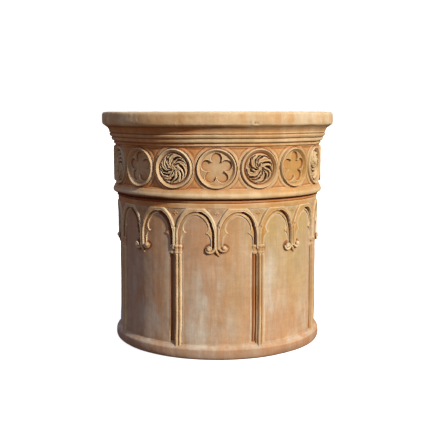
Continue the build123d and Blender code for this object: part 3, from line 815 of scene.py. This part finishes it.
def lip(rho, start, power):
    """The roundel's moulded edge, added to its dish: a slope up to a round lip that drops outside it."""
    up = smooth(start, 44.6, rho) ** power
    drop = 3.4 * smooth(45.6, 46.8, rho) ** 1.8
    ridge = 0.85 * np.exp(-(((rho - 44.9) / 1.3) ** 2)) - 0.45 * np.exp(-(((rho - 41.4) / 0.7) ** 2))
    return up, drop, ridge


LOBES = [(24.4 * math.cos(math.radians(90 + 72 * k)), 24.4 * math.sin(math.radians(90 + 72 * k))) for k in range(5)]


def cinquefoil_face(x, z):
    rho = np.hypot(x, z)
    d = rho - 18.7
    for cx, cz in LOBES:
        d = np.minimum(d, np.hypot(x - cx, z - cz) - 12.4)
    wall = smooth(-0.5, 1.3, d)
    edge = 0.7 * np.exp(-(((d - 1.7) / 1.1) ** 2)) * smooth(0.0, 1.0, d)
    swell = 0.9 * np.exp(-(((rho - 19.8) / 3.2) ** 2)) * smooth(0.2, 2.0, d)
    floor = 260.4 + 0.3 * (1 - smooth(0, 14, rho))
    h = floor + (265.2 - 260.4 - 0.9 * smooth(28.0, 38.0, rho)) * wall + edge + swell
    up, drop, ridge = lip(rho, 37.6, 1.0)
    step = 0.9 * np.exp(-(((rho - 38.6) / 0.75) ** 2))
    h = h * (1 - up) + 269.9 * up + ridge - step
    return h - drop


def flame(points):
    """A curved slot with a round inner end and a drawn-out tip, from (radius, turn, half width) points."""
    left, right = [], []
    line = catmull([(r * math.cos(math.radians(90 + t)), r * math.sin(math.radians(90 + t)), w) for r, t, w in points], 5)
    d = np.gradient(line[:, :2], axis=0)
    d /= np.maximum(np.hypot(d[:, 0], d[:, 1]), 1e-9)[:, None]
    side = np.stack([-d[:, 1], d[:, 0]], -1)
    left = line[:, :2] + side * line[:, 2:]
    right = line[:, :2] - side * line[:, 2:]
    return np.vstack([left, right[::-1]])


OUTER = flame([(14.6, 13.0, 0.7), (17.2, 10.5, 1.6), (20.6, 4.5, 2.35), (24.4, -5.0, 2.75), (28.2, -17.0, 2.35), (31.2, -29.0, 1.5), (33.2, -40.0, 0.5)])
INNER = flame([(4.4, 26.0, 0.6), (6.6, 21.0, 1.2), (9.6, 14.0, 1.65), (13.0, 5.0, 1.6), (16.2, -4.0, 1.0), (18.4, -11.0, 0.4)])
EDGE = flame([(29.4, -28.0, 0.4), (31.2, -36.0, 0.9), (32.8, -46.0, 1.0), (33.8, -55.0, 0.4)])

# each slot was cut by hand: its turn in degrees and its size against the others
HAND = [(2.0, 1.0), (-3.5, 0.93), (3.0, 1.03), (-1.0, 0.90), (4.0, 1.02), (-4.0, 0.96), (1.0, 1.03), (3.5, 0.92), (-2.5, 1.0), (-4.5, 0.95)]


def turn_flat(line, degrees):
    c, s = math.cos(math.radians(degrees)), math.sin(math.radians(degrees))
    return line @ np.array([[c, s], [-s, c]])


def whirl_face(x, z, seed=0):
    rho = np.hypot(x, z)
    p = np.stack([x, z, np.full(x.shape, 40.0 * seed)], -1)
    wide = smooth(36.0, 30.0, rho)
    x, z = x + wide * (1.5 * noise(p, 15.0, 71) + 0.7 * noise(p, 6.5, 72)), z + wide * (1.5 * noise(p, 15.0, 73) + 0.7 * noise(p, 6.5, 74))
    d = np.full(x.shape, 9.0)
    slots = [(OUTER, 36.0 * k + HAND[(k + 3 * seed) % 10][0], HAND[(k + 3 * seed) % 10][1]) for k in range(10)]
    slots += [(INNER, 36.0 * k + 19.0 - HAND[(k + seed) % 10][0], HAND[(k + 2 * seed) % 10][1]) for k in range(10) if (k + seed) % 5 != 3]
    slots += [(EDGE, 36.0 * k + 2.0, 1.0) for k in range(0, 10, 2)]
    for line, shift, size in slots:
        ring = turn_flat(line * size, shift)
        near = line_distance(x, z, np.vstack([ring, ring[:1]]))
        d = np.minimum(d, np.where(inside(x, z, ring), -near, near))
    open_ = 1 - smooth(-1.0, 0.5, d)
    rib = 1.1 * np.exp(-(((d - 1.3) / 1.0) ** 2)) - 0.8 * smooth(2.2, 4.4, d)
    crown = 267.2 - 0.9 * smooth(24.0, 35.0, rho) + rib
    h = crown - open_ * (crown - 257.6)
    cove = smooth(34.2, 36.0, rho)
    h = h * (1 - cove) + 262.6 * cove
    up, drop, ridge = lip(rho, 36.2, 0.9)
    h = h * (1 - up) + 269.9 * up + ridge
    return h - drop


CINQUE_RINGS = np.concatenate([np.arange(1.2, 37.6, 0.82), np.arange(37.8, 46.6, 0.55), [46.8]])
WHIRL_RINGS = np.concatenate([np.arange(1.0, 36.2, 0.7), np.arange(36.6, 46.6, 0.66), [46.8]])
for k in range(BAYS):
    disc_piece(f"cinquefoil_roundel_{k + 1}", k * STEP, cinquefoil_face, CINQUE_RINGS, 176, "ornament_clay", f"cinquefoil_roundel_{k + 1}")
    disc_piece(f"whirl_roundel_{k + 1}", (k + 0.5) * STEP, lambda x, z, seed=k: whirl_face(x, z, seed), WHIRL_RINGS, 208, "ornament_clay", f"whirl_roundel_{k + 1}")

cells = 0.98
cols = int(round(WALL_R * STEP / cells))
phi = np.linspace(-STEP / 2, STEP / 2, cols + 1)
rows = int(round((BAND_LOW + 1.0 - PEND_TOP + 2.0) / cells))
zz = np.linspace(PEND_TOP - 2.0, BAND_LOW + 1.0, rows + 1)
F, Z = np.meshgrid(phi, zz)
local = np.where(F < 0, F + HALF, F - HALF)
H = arch_relief(WALL_R * np.sin(local), Z)
high = np.maximum(np.maximum(H[:-1, :-1], H[1:, :-1]), np.maximum(H[:-1, 1:], H[1:, 1:]))
keep = high > -1.4
face_r = WALL_R + np.maximum(H, -2.9)
base = patch_arrays(phi, zz, face_r, np.full(face_r.shape, WALL_R - 4.6), keep)
for k in range(BAYS):
    p = weather(spin(base[0], k * STEP))
    place(make_object(f"tracery_bay_{k + 1}", p, base[1], [], base[2], 9), "ornament_clay", f"tracery_bay_{k + 1}")


def rolls_at(s, rolls):
    """Height of a cluster of upright rolls across their width. Each is (place, half width, height)."""
    h = np.full(s.shape, -1.6)
    for at, half, top in rolls:
        u = (s - at) / half
        h = np.maximum(h, np.where(np.abs(u) < 1, top * np.sqrt(np.clip(1 - u * u, 0, 1)), -1.6))
    return h


PLINTH_LINE = [(0, 262.0), (1.4, 263.4), (4.2, 266.2), (8, 267.7), (12.5, 268.4), (17.5, 268.3), (22.0, 267.9), (25.4, 267.4), (28.0, 266.4), (30.6, 264.4), (33.6, 261.4), (36.6, 258.9), (39.2, 257.7)]


def shaft_relief(s, z):
    """Two rolls side by side, a slender bead and, on the left, an undercut hollow."""
    h = 0.45 + 0.0 * s
    h = np.maximum(h, rolls_at(s, [(3.7, 4.1, 6.2), (11.6, 3.9, 4.6)]))
    h = h - 0.7 * np.exp(-(((s - 7.9) / 0.6) ** 2))
    left = smooth(-0.4, -1.2, s) * smooth(-15.6, -14.9, s)
    bead = 6.4 * np.sqrt(np.clip(1 - ((s + 3.0) / 1.9) ** 2, 0.0, 1.0))
    deep = -5.6 + 2.6 * np.sqrt(np.clip(1 - ((s + 8.6) / 3.0) ** 2, 0.0, 1.0))
    return h * (1 - left) + (deep + bead) * left


s = np.concatenate([np.arange(-16.7, -13.8, 0.42), np.arange(-13.8, -5.4, 0.85), np.arange(-5.4, 1.0, 0.48), np.arange(1.2, 16.2, 0.75)])
zc = np.concatenate([np.arange(29.0, 46.0, 1.2), np.arange(46.4, CAP_LOW + 1.2, 2.6), [CAP_LOW + 1.6]])
S, Z = np.meshgrid(s, zc)
H = shaft_relief(S, Z)
slope = np.interp(Z, [q[0] for q in PLINTH_LINE], [q[1] for q in PLINTH_LINE])
face_r = wall_r(np.maximum(Z, PLINTH_TOP)) + H
shown = (face_r > slope - 0.6) | (Z > 39.0)
near = shown[:-1, :-1] | shown[1:, :-1] | shown[:-1, 1:] | shown[1:, 1:]
shaft = patch_arrays(s / WALL_R, zc, face_r, np.full(face_r.shape, WALL_R - 10.0), near)


def capital_relief(s, z):
    """Two ringed collars round the three shafts, with a hollow neck between them."""
    t = z - CAP_LOW
    top = np.exp(-((np.abs(t - 18.0) / 2.9) ** 3))
    low_ = np.exp(-((np.abs(t - 2.9) / 2.5) ** 3))
    ring = 1.7 * top + 1.5 * low_ + 0.3 * np.exp(-(((t - 10.0) / 2.0) ** 2))
    flare = 0.8 * smooth(9.0, 15.0, t)
    h = np.full(s.shape, -1.6)
    for at, half, tall in ((2.8, 5.6, 5.4), (-9.4, 4.6, 1.2), (11.2, 4.3, 3.8)):
        grow = ring + flare
        u = (s - at) / (half + 0.66 * grow)
        h = np.maximum(h, np.where(np.abs(u) < 1, (tall + grow) * np.sqrt(np.clip(1 - u * u, 0, 1)), -1.6))
    floor = np.where(np.abs(s) < 12.8 + 0.7 * ring, 0.7 + 1.3 * np.maximum(top, low_), -1.6)
    return np.maximum(h, floor)


s = np.linspace(-16.8, 16.8, 49)
zc = np.linspace(CAP_LOW - 0.6, CAP_TOP + 0.8, 34)
S, Z = np.meshgrid(s, zc)
H = capital_relief(S, Z)
high = np.maximum(np.maximum(H[:-1, :-1], H[1:, :-1]), np.maximum(H[:-1, 1:], H[1:, 1:]))
capital = patch_arrays(s / WALL_R, zc, WALL_R + H, np.full(H.shape, WALL_R - 3.0), high > -0.9)

for k in range(BAYS):
    turn = (k + 0.5) * STEP
    place(make_object(f"colonnette_{k + 1}", weather(spin(shaft[0], turn)), shaft[1], [], shaft[2], 6), "ornament_clay", f"colonnette_{k + 1}")
    place(make_object(f"capital_{k + 1}", weather(spin(capital[0], turn)), capital[1], [], capital[2], 6), "ornament_clay", f"capital_{k + 1}")


# ------------------------------------------------------------------------------------------- pendants
def ball(at, size, squash=(1.0, 1.0, 1.0), count=28):
    """A closed round form, as vertices and faces."""
    v, f = [], []
    for i in range(1, count):
        th = math.pi * i / count
        for j in range(2 * count):
            a = TAU * j / (2 * count)
            v.append((math.sin(th) * math.cos(a), math.sin(th) * math.sin(a), math.cos(th)))
    w = 2 * count
    v += [(0, 0, 1), (0, 0, -1)]
    for i in range(count - 2):
        for j in range(w):
            f.append((i * w + j, (i + 1) * w + j, (i + 1) * w + (j + 1) % w, i * w + (j + 1) % w))
    t, b = len(v) - 2, len(v) - 1
    for j in range(w):
        f.append((t, j, (j + 1) % w))
        f.append((b, (count - 2) * w + (j + 1) % w, (count - 2) * w + j))
    v = np.array(v) * np.array(squash) * size + np.array(at)
    return v, f


def stem(points, around=20):
    """A closed bent rod through (x, y, z, radius) points."""
    line = catmull(points, 7)
    c, rad = line[:, :3], np.maximum(line[:, 3], 0.25)
    d = np.gradient(c, axis=0)
    d /= np.linalg.norm(d, axis=1)[:, None]
    up = np.array([0.0, 1.0, 0.0])
    n1 = np.cross(d, up)
    n1 /= np.linalg.norm(n1, axis=1)[:, None]
    n2 = np.cross(d, n1)
    a = np.arange(around) * TAU / around
    v = c[:, None] + rad[:, None, None] * (n1[:, None] * np.cos(a)[None, :, None] + n2[:, None] * np.sin(a)[None, :, None])
    m = len(c)
    v = np.vstack([v.reshape(-1, 3), c[0] - d[0] * rad[0] * 0.7, c[-1] + d[-1] * rad[-1] * 0.7])
    f = []
    for i in range(m - 1):
        for j in range(around):
            j2 = (j + 1) % around
            f.append((i * around + j, i * around + j2, (i + 1) * around + j2, (i + 1) * around + j))
    for j in range(around):
        j2 = (j + 1) % around
        f.append((m * around, j2, j))
        f.append((m * around + 1, (m - 1) * around + j, (m - 1) * around + j2))
    return v, f


def melt(parts, voxel, soften):
    """Joins closed forms into one skin, as modelled clay, and returns its arrays."""
    verts, faces, n = [], [], 0
    for v, f in parts:
        verts.append(v)
        faces += [tuple(i + n for i in q) for q in f]
        n += len(v)
    me = bpy.data.meshes.new("melt")
    me.from_pydata((np.vstack(verts) * 0.001).tolist(), [], faces)
    me.update()
    ob = bpy.data.objects.new("melt", me)
    bpy.context.scene.collection.objects.link(ob)
    mod = ob.modifiers.new("skin", "REMESH")
    mod.mode, mod.voxel_size, mod.use_smooth_shade = "VOXEL", voxel * 0.001, True
    soft = ob.modifiers.new("soften", "SMOOTH")
    soft.factor, soft.iterations = 0.5, soften
    dg = bpy.context.evaluated_depsgraph_get()
    done = bpy.data.meshes.new_from_object(ob.evaluated_get(dg))
    p = np.empty(len(done.vertices) * 3, np.float32)
    done.vertices.foreach_get("co", p)
    loops = np.empty(len(done.loops), np.int32)
    done.loops.foreach_get("vertex_index", loops)
    size = np.empty(len(done.polygons), np.int32)
    done.polygons.foreach_get("loop_total", size)
    start = np.empty(len(done.polygons), np.int32)
    done.polygons.foreach_get("loop_start", start)
    quads = loops[start[size == 4][:, None] + np.arange(4)]
    tris = loops[start[size == 3][:, None] + np.arange(3)]
    bpy.data.objects.remove(ob)
    bpy.data.meshes.remove(me)
    bpy.data.meshes.remove(done)
    return p.reshape(-1, 3).astype(float) * 1000.0, quads, tris


def on_wall(x, z, out, size):
    """A point of a stem: x to the right, z up, out from the wall's face."""
    r = WALL_R + out
    return (x, -math.sqrt(r * r - x * x), z, size)


def at_wall(x, z, out):
    return on_wall(x, z, out, 0.0)[:3]


forms = [
    stem([on_wall(-3.6, 273.5, 1.6, 2.9), on_wall(-4.2, 268.0, 1.8, 3.1), on_wall(-6.8, 261.5, 2.2, 3.2), on_wall(-12.4, 257.0, 2.8, 3.1),
          on_wall(-19.2, 256.0, 3.2, 2.8), on_wall(-24.8, 259.4, 3.4, 2.3), on_wall(-26.6, 264.8, 3.0, 1.6)]),
    ball(at_wall(-18.9, 264.6, 3.4), 6.1, (1.0, 0.95, 1.0)),
    stem([on_wall(-11.6, 262.4, 5.6, 1.4), on_wall(-13.8, 268.2, 7.0, 1.8), on_wall(-18.6, 270.4, 7.4, 1.7), on_wall(-23.2, 268.2, 6.4, 1.3)]),
    stem([on_wall(3.8, 273.5, 1.6, 3.0), on_wall(5.0, 267.4, 2.0, 3.2), on_wall(9.0, 261.8, 2.6, 3.1), on_wall(15.2, 259.6, 3.2, 2.8),
          on_wall(21.2, 261.4, 3.4, 2.4), on_wall(25.4, 266.0, 3.2, 1.8), on_wall(26.2, 269.4, 2.6, 1.2)]),
    ball(at_wall(17.6, 267.4, 3.4), 5.9, (1.0, 0.95, 1.0)),
    stem([on_wall(-2.6, 264.0, 2.8, 2.6), on_wall(-0.4, 258.4, 2.8, 3.0), on_wall(2.6, 252.8, 2.0, 2.7), on_wall(5.4, 248.0, 1.0, 1.5), on_wall(6.8, 245.8, 0.6, 0.6)]),
    stem([on_wall(0.0, 274.0, 1.4, 2.4), on_wall(0.4, 268.0, 2.2, 2.2), on_wall(2.8, 264.8, 3.6, 1.6), on_wall(4.4, 267.0, 4.4, 1.0)]),
]
pendant = melt(forms, 0.62, 2)
for k in range(BAYS):
    p = weather(spin(pendant[0] + (0.0, 0.0, 3.6), k * STEP))
    place(make_object(f"pendant_{k + 1}", p, pendant[1], pendant[2], None, 7), "ornament_clay", f"pendant_{k + 1}")

# a small three-lobed leaf in the top of each spandrel
s = np.linspace(-8.0, 8.0, 37)
zc = np.linspace(345.6, 360.2, 34)
S, Z = np.meshgrid(s, zc)
H = np.full(S.shape, -1.4)
for cx, cz, ax, az, top in ((0.0, 356.6, 2.5, 3.0, 2.2), (-3.7, 353.4, 2.9, 2.2, 2.0), (3.7, 353.4, 2.9, 2.2, 2.0), (0.0, 350.6, 1.3, 3.8, 1.6)):
    u = ((S - cx) / ax) ** 2 + ((Z - cz) / az) ** 2
    H = np.maximum(H, np.where(u < 1, top * np.sqrt(np.clip(1 - u, 0, 1)), -1.4))
high = np.maximum(np.maximum(H[:-1, :-1], H[1:, :-1]), np.maximum(H[:-1, 1:], H[1:, 1:]))
leaf = patch_arrays(s / WALL_R, zc, WALL_R + H, np.full(H.shape, WALL_R - 2.4), high > -0.9)
count = 2 * BAYS
verts = np.vstack([spin(leaf[0], k * TAU / count) for k in range(count)])
quads = np.vstack([leaf[1] + k * len(leaf[0]) for k in range(count)])
uv = np.vstack([leaf[2] * 0.245 + ((k % 4) * 0.25, (k // 4) * 0.25) for k in range(count)])
place(make_object("spandrel_leaves", weather(verts), quads, [], uv, 5), "ornament_clay", "spandrel_leaves")

finish_masks()

# ------------------------------------------------------------------------------------------- floor, light, camera
floor_mesh = bpy.data.meshes.new("studio_floor")
floor_mesh.from_pydata([(-30, -30, -0.0005), (30, -30, -0.0005), (30, 30, -0.0005), (-30, 30, -0.0005)], [], [(0, 1, 2, 3)])
floor = bpy.data.objects.new("studio_floor", floor_mesh)
bpy.context.scene.collection.objects.link(floor)
pale = bpy.data.materials.new("studio_floor")
pale.use_nodes = True
shader = pale.node_tree.nodes["Principled BSDF"]
shader.inputs["Base Color"].default_value = (0.9, 0.9, 0.9, 1.0)
shader.inputs["Roughness"].default_value = 1.0
shader.inputs["Specular IOR Level"].default_value = 0.0
shader.inputs["Emission Color"].default_value = (1.0, 1.0, 1.0, 1.0)
shader.inputs["Emission Strength"].default_value = 0.85
floor_mesh.materials.append(pale)
floor.visible_diffuse = False
floor.visible_glossy = False

world = bpy.data.worlds.new("studio")
bpy.context.scene.world = world
world.use_nodes = True
nt = world.node_tree
nt.nodes.clear()
out = nt.nodes.new("ShaderNodeOutputWorld")
blend = nt.nodes.new("ShaderNodeMixShader")
path = nt.nodes.new("ShaderNodeLightPath")
seen = nt.nodes.new("ShaderNodeBackground")
seen.inputs[0].default_value = (1.0, 1.0, 1.0, 1.0)
seen.inputs[1].default_value = 1.05
fill = nt.nodes.new("ShaderNodeBackground")
fill.inputs[1].default_value = 1.0
coord = nt.nodes.new("ShaderNodeTexCoord")
split = nt.nodes.new("ShaderNodeSeparateXYZ")
grade = nt.nodes.new("ShaderNodeValToRGB")
scale = nt.nodes.new("ShaderNodeMapRange")
scale.inputs["From Min"].default_value = -1.0
scale.inputs["From Max"].default_value = 1.0
grade.color_ramp.elements[0].position = 0.40
grade.color_ramp.elements[0].color = (0.185, 0.130, 0.082, 1.0)
grade.color_ramp.elements[1].position = 0.62
grade.color_ramp.elements[1].color = (0.305, 0.315, 0.385, 1.0)
nt.links.new(coord.outputs["Generated"], split.inputs[0])
nt.links.new(split.outputs["Z"], scale.inputs["Value"])
nt.links.new(scale.outputs["Result"], grade.inputs[0])
# the fill from the left is a little cooler, as open sky
across = nt.nodes.new("ShaderNodeMapRange")
across.inputs["From Min"].default_value = -1.0
across.inputs["From Max"].default_value = 1.0
cool = nt.nodes.new("ShaderNodeValToRGB")
cool.color_ramp.elements[0].position = 0.20
cool.color_ramp.elements[0].color = (0.94, 1.01, 1.32, 1.0)
cool.color_ramp.elements[1].position = 0.60
cool.color_ramp.elements[1].color = (1.0, 1.0, 0.98, 1.0)
tint = nt.nodes.new("ShaderNodeMix")
tint.data_type, tint.blend_type = "RGBA", "MULTIPLY"
tint.inputs[0].default_value = 1.0
nt.links.new(split.outputs["X"], across.inputs["Value"])
nt.links.new(across.outputs["Result"], cool.inputs[0])
nt.links.new(grade.outputs[0], tint.inputs[6])
nt.links.new(cool.outputs[0], tint.inputs[7])
nt.links.new(tint.outputs[2], fill.inputs[0])
nt.links.new(path.outputs["Is Camera Ray"], blend.inputs[0])
nt.links.new(fill.outputs[0], blend.inputs[1])
nt.links.new(seen.outputs[0], blend.inputs[2])
nt.links.new(blend.outputs[0], out.inputs[0])

sun = bpy.data.objects.new("key", bpy.data.lights.new("key", "SUN"))
sun.data.energy = 4.5
sun.data.angle = math.radians(4.0)
sun.data.color = (1.0, 0.965, 0.90)
az, el = math.radians(44.0), math.radians(29.0)
sun.rotation_mode = "QUATERNION"
sun.rotation_quaternion = Vector((math.sin(az) * math.cos(el), -math.cos(az) * math.cos(el), math.sin(el))).to_track_quat("Z", "Y")
sun.location = (2.0, -2.0, 2.5)
bpy.context.scene.collection.objects.link(sun)

camera = bpy.data.objects.new("camera", bpy.data.cameras.new("camera"))
camera.data.sensor_width = 36.0
camera.data.lens = 71.146
camera.data.clip_start, camera.data.clip_end = 0.05, 200.0
camera.location = (0.0215, -2.2399, 0.5923)
camera.rotation_mode = "XYZ"
camera.rotation_euler = (math.radians(90.0 - 6.964), 0.0, math.radians(0.55 + 0.164))
bpy.context.scene.collection.objects.link(camera)
bpy.context.scene.camera = camera

scene = bpy.context.scene
scene.view_settings.view_transform = "Standard"
scene.view_settings.look = "None"
scene.view_settings.exposure = 0.0
scene.view_settings.gamma = 1.0

bpy.context.view_layer.update()
